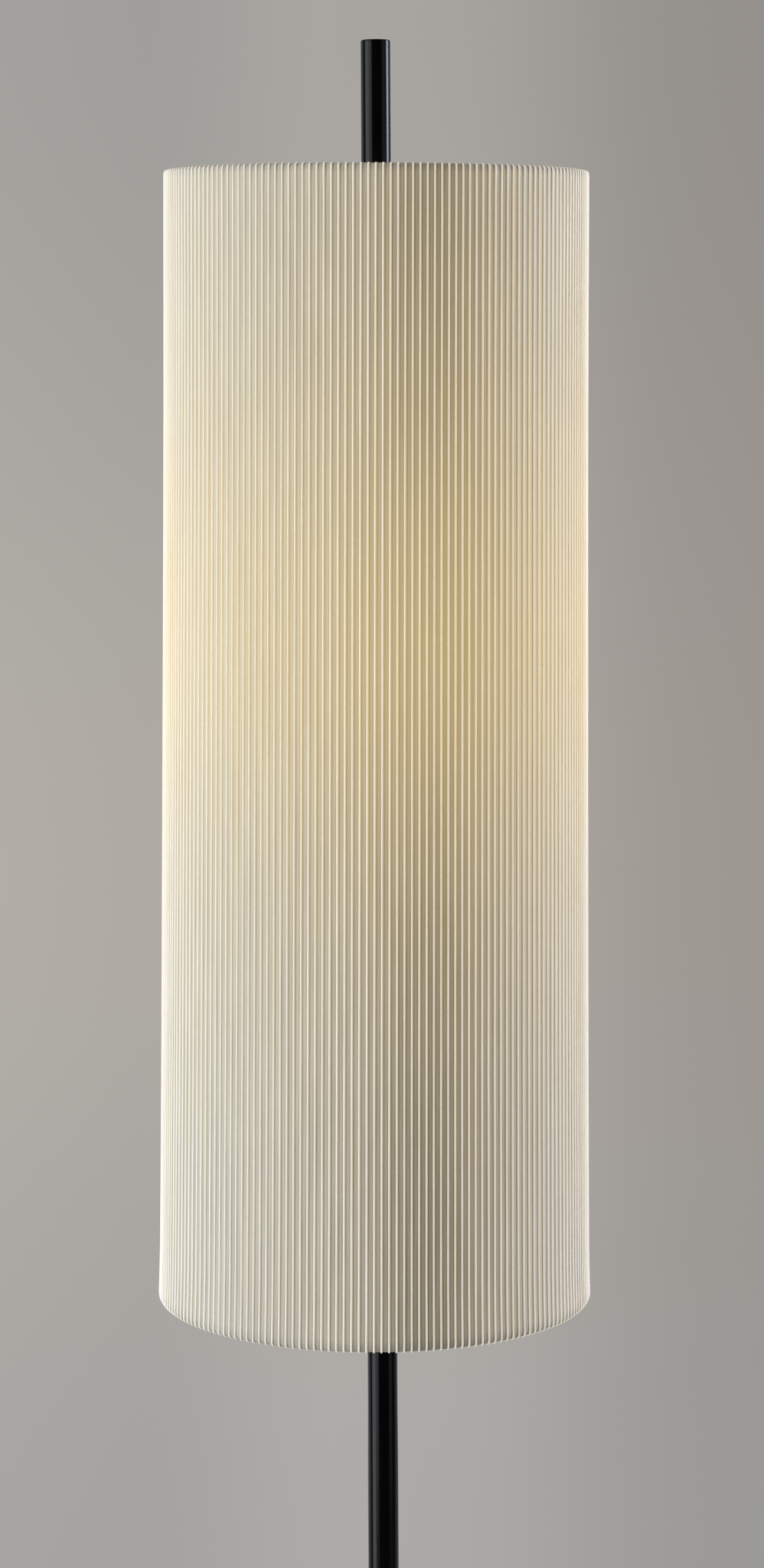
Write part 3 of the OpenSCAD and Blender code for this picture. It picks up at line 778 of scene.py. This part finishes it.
def turn_thread(name, axis, start, end, crest, root, pitch, points):
    """A wave of one pitch that is screwed up round an upright axis, from under the start to over
    the end. It is left in edit mode, to be cut off level at both ends."""
    middle, depth = (crest + root) / 2, (crest - root) / 2
    wave = []
    for step in range(points + 1):
        share = step / points
        reach = middle - depth * math.cos(2 * math.pi * share)
        wave.append((axis[0] + reach, axis[1], start - pitch + share * pitch))
    piece = draw_line(name, wave)
    bpy.ops.object.mode_set(mode="OBJECT")
    guide = add_guide(location=(axis[0], axis[1], 0))
    bpy.context.view_layer.objects.active = piece
    apply_modifier(piece, "SCREW", object=guide, axis="Z", screw_offset=pitch, steps=THREAD_STEPS,
                   render_steps=THREAD_STEPS, iterations=math.ceil((end - start) / pitch) + 2,
                   use_merge_vertices=True, merge_threshold=THREAD_SEAM)
    remove_guide(guide)
    piece.select_set(True)
    bpy.ops.object.mode_set(mode="EDIT")
    pick_all()
    bpy.ops.mesh.remove_doubles(threshold=THREAD_WELD)
    return piece


def cut_level(height, above, fill):
    """In edit mode, cuts away all that lies above or below a height, and can close the cut."""
    pick_all()
    bpy.ops.mesh.bisect(plane_co=(0, 0, height), plane_no=(0, 0, 1), clear_outer=above,
                        clear_inner=not above, use_fill=fill)


def make_finial_stud():
    """The threaded stud on top of the pole. Its thread is real, so its finish shows none."""
    low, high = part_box("finial_stud")
    piece = turn_thread("finial_stud_thread", (0, 0), low[2], high[2], high[0],
                        high[0] - STUD_THREAD_DEPTH, STUD_PITCH, STUD_WAVE_POINTS)
    cut_level(low[2], above=False, fill=True)
    cut_level(high[2], above=True, fill=True)
    turn_faces_out()
    bpy.ops.object.shade_smooth_by_angle(angle=math.radians(30))
    finish_piece(piece, "threaded_steel", body_of("finial_stud"), "finial_stud")
    dress(piece, "turned_thread")


def make_bulb_cap(side):
    """The screw cap of a bulb: a wall rolled to a thread, a turned-in foot, and a plain collar."""
    node = side + "_bulb_cap"
    low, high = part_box(node)
    axis = middle_of(node)[:2]
    crest = (high[0] - low[0]) / 2
    thread_end = high[2] - PLAIN_TOP
    piece = turn_thread(node + "_thread", axis, low[2], thread_end, crest,
                        crest - CAP_THREAD_DEPTH, CAP_PITCH, CAP_WAVE_POINTS)
    cut_level(low[2], above=False, fill=False)
    cut_level(thread_end, above=True, fill=False)
    for height, (shrink, rise) in ((low[2], FOOT_TURN), (thread_end, TOP_TURN)):
        pick_points(piece, lambda place: abs(place.z - height) < SAME_HEIGHT)
        bpy.ops.mesh.extrude_region_move(TRANSFORM_OT_translate={"value": (0, 0, rise)})
        bpy.ops.transform.resize(value=(shrink, shrink, 1), center_override=(*axis, height))
    turn_faces_out()
    apply_modifier(piece, "SOLIDIFY", thickness=CAP_WALL, offset=-1)
    outline = [(axis[0] + reach * MM, axis[1], high[2] + rise * MM) for reach, rise in COLLAR]
    collar = draw_line(node + "_collar", outline)
    pick_all()
    bpy.ops.mesh.edge_face_add()
    bpy.ops.mesh.delete(type="ONLY_FACE")
    spin_round(axis, THREAD_STEPS, COLLAR_SEAM)
    turn_faces_out()
    deselect_everything()
    collar.select_set(True)
    piece.select_set(True)
    bpy.context.view_layer.objects.active = piece
    bpy.ops.object.join()
    bpy.ops.object.shade_smooth_by_angle(angle=math.radians(35))
    finish_piece(piece, "bulb_nickel", body_of(node), node)


def waist_curve(start, end):
    """The points of the waist after its start, as radius and height."""
    handles = (start, start - UPPER_HANDLE, end + LOWER_HANDLE, end)
    places = []
    for step in range(1, WAIST_STEPS + 1):
        share = step / WAIST_STEPS
        left = 1 - share
        weights = (left ** 3, 3 * share * left ** 2, 3 * share ** 2 * left, share ** 3)
        weighted = (weight * handle for weight, handle in zip(weights, handles))
        places.append(tuple(sum(weighted, Vector((0, 0)))))
    return places


def make_bulb_glass(side):
    """The frosted glass of a bulb, spun from half its outline and closed at the tip."""
    node = side + "_bulb_glass"
    low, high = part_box(node)
    axis = middle_of(node)[:2]
    crown = high[2] - BULB_RADIUS
    outline = [(TIP_OPENING, crown + BULB_RADIUS)]
    for angle in CROWN_ANGLES:
        turn = math.radians(angle)
        outline.append((BULB_RADIUS * math.cos(turn), crown + BULB_RADIUS * math.sin(turn)))
    start = Vector((BULB_RADIUS * math.cos(CROWN_END), crown - BULB_RADIUS / 2))
    outline += waist_curve(start, Vector((NECK_RADIUS, low[2] + NECK_HEIGHT)))
    outline.append((NECK_RADIUS, low[2]))
    piece = draw_line(node + "_envelope",
                      [(axis[0] + reach, axis[1], height) for reach, height in outline])
    spin_round(axis, GLASS_STEPS, GLASS_SEAM)
    pick_points(piece, lambda place: place.z > high[2] - TIP_DEPTH)
    bpy.ops.mesh.merge(type="CENTER")
    turn_faces_out()
    apply_modifier(piece, "SOLIDIFY", thickness=GLASS, offset=-1)
    bpy.ops.object.shade_smooth_by_angle(angle=math.radians(50))
    finish_piece(piece, "bulb_frost", body_of(node), node)


make_finial_stud()
for side in ("front", "rear"):
    make_bulb_cap(side)
    make_bulb_glass(side)

# ---- Studio ----

FLOOR_RADIUS = 1.55

# Colours of the window light. It is cooler on the right, and coolest through the right curtain.
DAYLIGHT = (0.87, 1.005, 1.13)
RIGHT_DAYLIGHT = (0.86, 1.0, 1.2)
CURTAIN_DAYLIGHT = (0.84, 1.0, 1.28)

# Each light's name, bearing in degrees, distance, width, height, height of its middle, radiance and
# colour. Bearings are counted from the camera's side, to the right.
SOFTBOXES = [
    ("left_window", -70, 2.0, 1.05, 2.7, 1.05, 2.45, DAYLIGHT),
    ("left_curtain", -44, 2.0, 0.85, 2.4, 1.2, 1.40, DAYLIGHT),
    ("right_window", 101, 2.0, 0.65, 1.9, 1.7, 9.0, RIGHT_DAYLIGHT),
    ("right_curtain", 62, 2.0, 0.90, 2.4, 1.2, 0.37, CURTAIN_DAYLIGHT),
    ("left_wall", -130, 2.0, 1.60, 2.4, 1.2, 0.20, DAYLIGHT),
    ("back_fill", 180, 2.2, 2.0, 2.4, 1.2, 0.8, DAYLIGHT),
]

# The wall's tones at the bottom, middle and top of the picture, on its left and on its right. They
# blend along these spans of the direction in which one looks: Z upwards, and X to the right.
WALL_LEFT = ((0.385, 0.378, 0.362), (0.448, 0.424, 0.390), (0.366, 0.361, 0.342))
WALL_RIGHT = ((0.323, 0.319, 0.309), (0.336, 0.306, 0.284), (0.298, 0.278, 0.264))
LOWER_SPAN = (-0.34, -0.15)
UPPER_SPAN = (-0.15, 0.09)
ACROSS_SPAN = (-0.11, 0.11)

# A paler patch of wall behind the pole, which fades to its left and to its right
PATCH_TONE = (1.0, 0.93, 0.90)
PATCH_SHARE = 0.09
PATCH_LEFT = (-0.07, -0.012)
PATCH_RIGHT = (0.015, 0.085)

EVEN_LIGHT = (0.02, 0.02, 0.02)

# Metal and glass mirror even light in front, and the wall where the direction's Y is over this span
MIRRORED_SPAN = (0.0, 0.5)


def stage_floor():
    """A plain floor, which only the camera sees paler than the lights make it."""
    deselect_everything()
    bpy.ops.mesh.primitive_circle_add(vertices=96, radius=FLOOR_RADIUS, fill_type="NGON",
                                      location=(0, 0, 0))
    floor = bpy.context.object
    floor.name = "floor"
    material, tree, shader = new_material("pale_floor", Roughness=0.85, Specular_IOR_Level=0.2,
                                          Emission_Color=opaque(0.20, 0.17, 0.147))
    tone = noise(tree, object_place(tree), 3.0)
    colour = mix_colours(tree, tone, opaque(0.46, 0.42, 0.385), opaque(0.50, 0.46, 0.42))
    seen = add_node(tree, "ShaderNodeLightPath").outputs["Is Camera Ray"]
    feed(tree, shader, Base_Color=colour, Emission_Strength=seen)
    floor.data.materials.append(material)


def hang_softbox(name, bearing, distance, width, height, middle, radiance, colour):
    """A flat light that faces the lamp and that the camera doesn't see."""
    turn = math.radians(bearing)
    spot = Vector((distance * math.sin(turn), -distance * math.cos(turn), middle))
    bpy.ops.object.light_add(type="AREA", location=spot)
    light = bpy.context.object
    light.name = name
    toward = Vector((0, 0, middle)) - spot
    light.rotation_euler = toward.to_track_quat("-Z", "Y").to_euler()
    light.data.shape = "RECTANGLE"
    light.data.size = width
    light.data.size_y = height
    light.data.energy = radiance * math.pi * width * height
    light.data.color = colour
    light.visible_camera = False


def wall_tones(tree, tones, lower, upper):
    """One end of the wall: its three tones, blended from the bottom to the top."""
    bottom, middle, top = [opaque(*tone) for tone in tones]
    return mix_colours(tree, upper, mix_colours(tree, lower, bottom, middle), top)


def light_world():
    """Dim even light. In its place the camera sees a plain grey wall that darkens to the right, and
    metal and glass mirror that wall where it lies behind the lamp."""
    world = bpy.data.worlds.new("studio")
    bpy.context.scene.world = world
    world.use_nodes = True
    tree = world.node_tree
    parts = split(tree, add_node(tree, "ShaderNodeTexCoord").outputs["Generated"])
    lower = remap(tree, parts["Z"], *LOWER_SPAN, smooth=True)
    upper = remap(tree, parts["Z"], *UPPER_SPAN, smooth=True)
    wall = mix_colours(tree, remap(tree, parts["X"], *ACROSS_SPAN),
                       wall_tones(tree, WALL_LEFT, lower, upper),
                       wall_tones(tree, WALL_RIGHT, lower, upper))
    patch = calculate(tree, "MULTIPLY",
                      remap(tree, parts["X"], *PATCH_LEFT, smooth=True),
                      remap(tree, parts["X"], *PATCH_RIGHT, PATCH_SHARE, 0.0, smooth=True))
    wall = mix_colours(tree, patch, wall, opaque(*PATCH_TONE))
    seen = add_node(tree, "ShaderNodeBackground", {"Color": wall, "Strength": 1.0}).outputs[0]
    even = add_node(tree, "ShaderNodeBackground",
                    {"Color": opaque(*EVEN_LIGHT), "Strength": 1.0}).outputs[0]
    rays = add_node(tree, "ShaderNodeLightPath").outputs
    mirrored = calculate(tree, "MAXIMUM", rays["Is Glossy Ray"], rays["Is Transmission Ray"])
    mirrored = calculate(tree, "MULTIPLY", mirrored,
                         remap(tree, parts["Y"], *MIRRORED_SPAN, smooth=True))
    shown = calculate(tree, "MAXIMUM", rays["Is Camera Ray"], mirrored)
    mixed = add_node(tree, "ShaderNodeMixShader", {0: shown, 1: even, 2: seen}).outputs[0]
    tree.links.new(mixed, tree.nodes["World Output"].inputs["Surface"])


stage_floor()
light_world()
for softbox in SOFTBOXES:
    hang_softbox(*softbox)

bpy.context.scene.view_settings.view_transform = "Standard"
